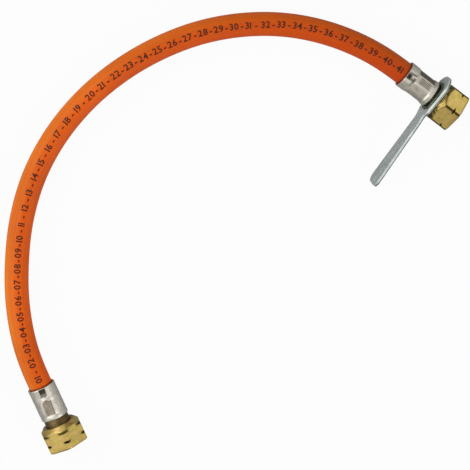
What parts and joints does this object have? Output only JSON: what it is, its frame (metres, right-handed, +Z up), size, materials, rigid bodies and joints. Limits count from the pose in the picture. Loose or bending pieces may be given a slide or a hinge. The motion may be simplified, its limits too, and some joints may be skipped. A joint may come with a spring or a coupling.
{
  "type": "gas hose assembly",
  "caption": "Short rubber gas hose with a crimped ferrule and a swivel brass union nut at each end, and a hand lever fixed to one nut.",
  "frame": {"origin": "middle of the floor area that the two end fittings and the lever span, on the floor", "axes": "+Z up from the floor, +Y towards the top of the hose's bend, +X from the plain end towards the lever end"},
  "size_m": [0.2912, 0.2741, 0.029],
  "materials": {
    "cover_rubber": "smooth satin orange",
    "textile": "undyed braid",
    "lining_rubber": "smooth black",
    "plated_steel": "bright plated, with crimp marks",
    "brass": "turned",
    "seal_rubber": "smooth black",
    "lever_steel": "dull zinc plate"
  },
  "bodies": {
    "hose_assembly": {"hose_cover": "cover_rubber", "hose_reinforcement": "textile", "hose_lining": "lining_rubber", "ferrule_a": "plated_steel", "ferrule_b": "plated_steel", "hose_tail_a": "brass", "hose_tail_b": "brass", "sealing_washer_a": "seal_rubber", "sealing_washer_b": "seal_rubber"},
    "lever_nut": {"union_nut_a": "brass", "hand_lever": "lever_steel"},
    "plain_nut": {"union_nut_b": "brass"}
  },
  "joints": [
    {"name": "lever_nut_swivel", "type": "hinge", "parent": "hose_assembly", "child": "lever_nut", "pos_m": [0.12495, 0.09296, 0.01443], "axis": [0.788, -0.6157, 0], "continuous": true},
    {"name": "plain_nut_swivel", "type": "hinge", "parent": "hose_assembly", "child": "plain_nut", "pos_m": [-0.11701, -0.10849, 0.01443], "axis": [0.4067, -0.9135, 0], "continuous": true}
  ]
}
